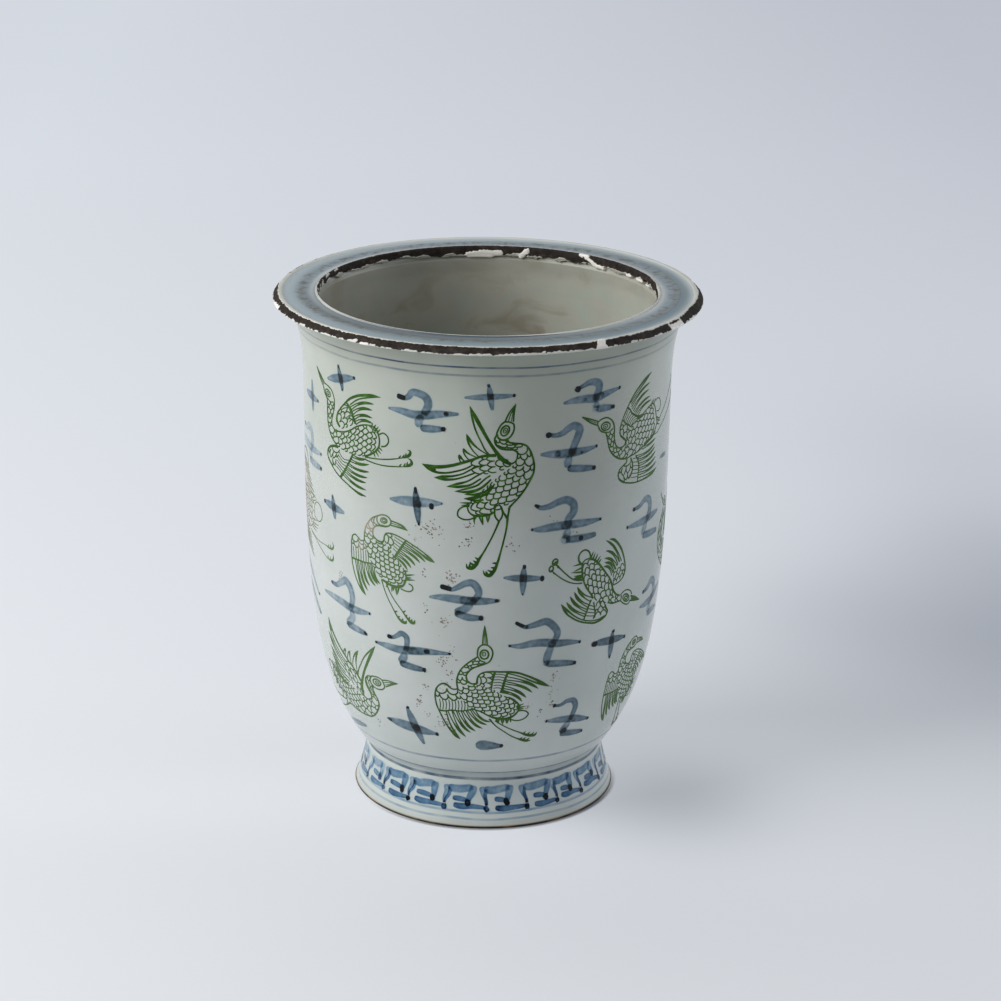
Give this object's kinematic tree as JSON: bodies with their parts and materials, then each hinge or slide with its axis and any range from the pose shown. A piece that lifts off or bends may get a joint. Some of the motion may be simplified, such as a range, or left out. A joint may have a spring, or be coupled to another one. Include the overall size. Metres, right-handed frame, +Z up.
{
  "type": "porcelain floor planter",
  "caption": "Round porcelain floor planter: a deep bowl on a flared hollow foot, with a drain hole in its floor and a broad flat rim with dark edges.",
  "frame": {"origin": "centre of the foot's resting plane", "axes": "+Z up along the pot's axis; -Y is the side that faces the viewer in the picture"},
  "size_m": [0.329, 0.329, 0.4045],
  "materials": {
    "celadon_glaze": "satin-gloss pale green-white glaze",
    "blue_grey_glaze": "satin-gloss glaze over a brushed blue-grey wash",
    "iron_brown": "dull iron-brown edge dressing",
    "bare_clay": "unglazed fired clay",
    "crane_enamel": "thin raised green enamel line"
  },
  "bodies": {
    "root": {"bare_foot_edge": "bare_clay", "foot_ring": "celadon_glaze", "floor_disc": "celadon_glaze", "bowl": "celadon_glaze", "wall": "celadon_glaze", "neck": "celadon_glaze", "rim_flange": "blue_grey_glaze", "outer_edge_dressing": "iron_brown", "mouth_edge_dressing": "iron_brown"}
  },
  "joints": []
}
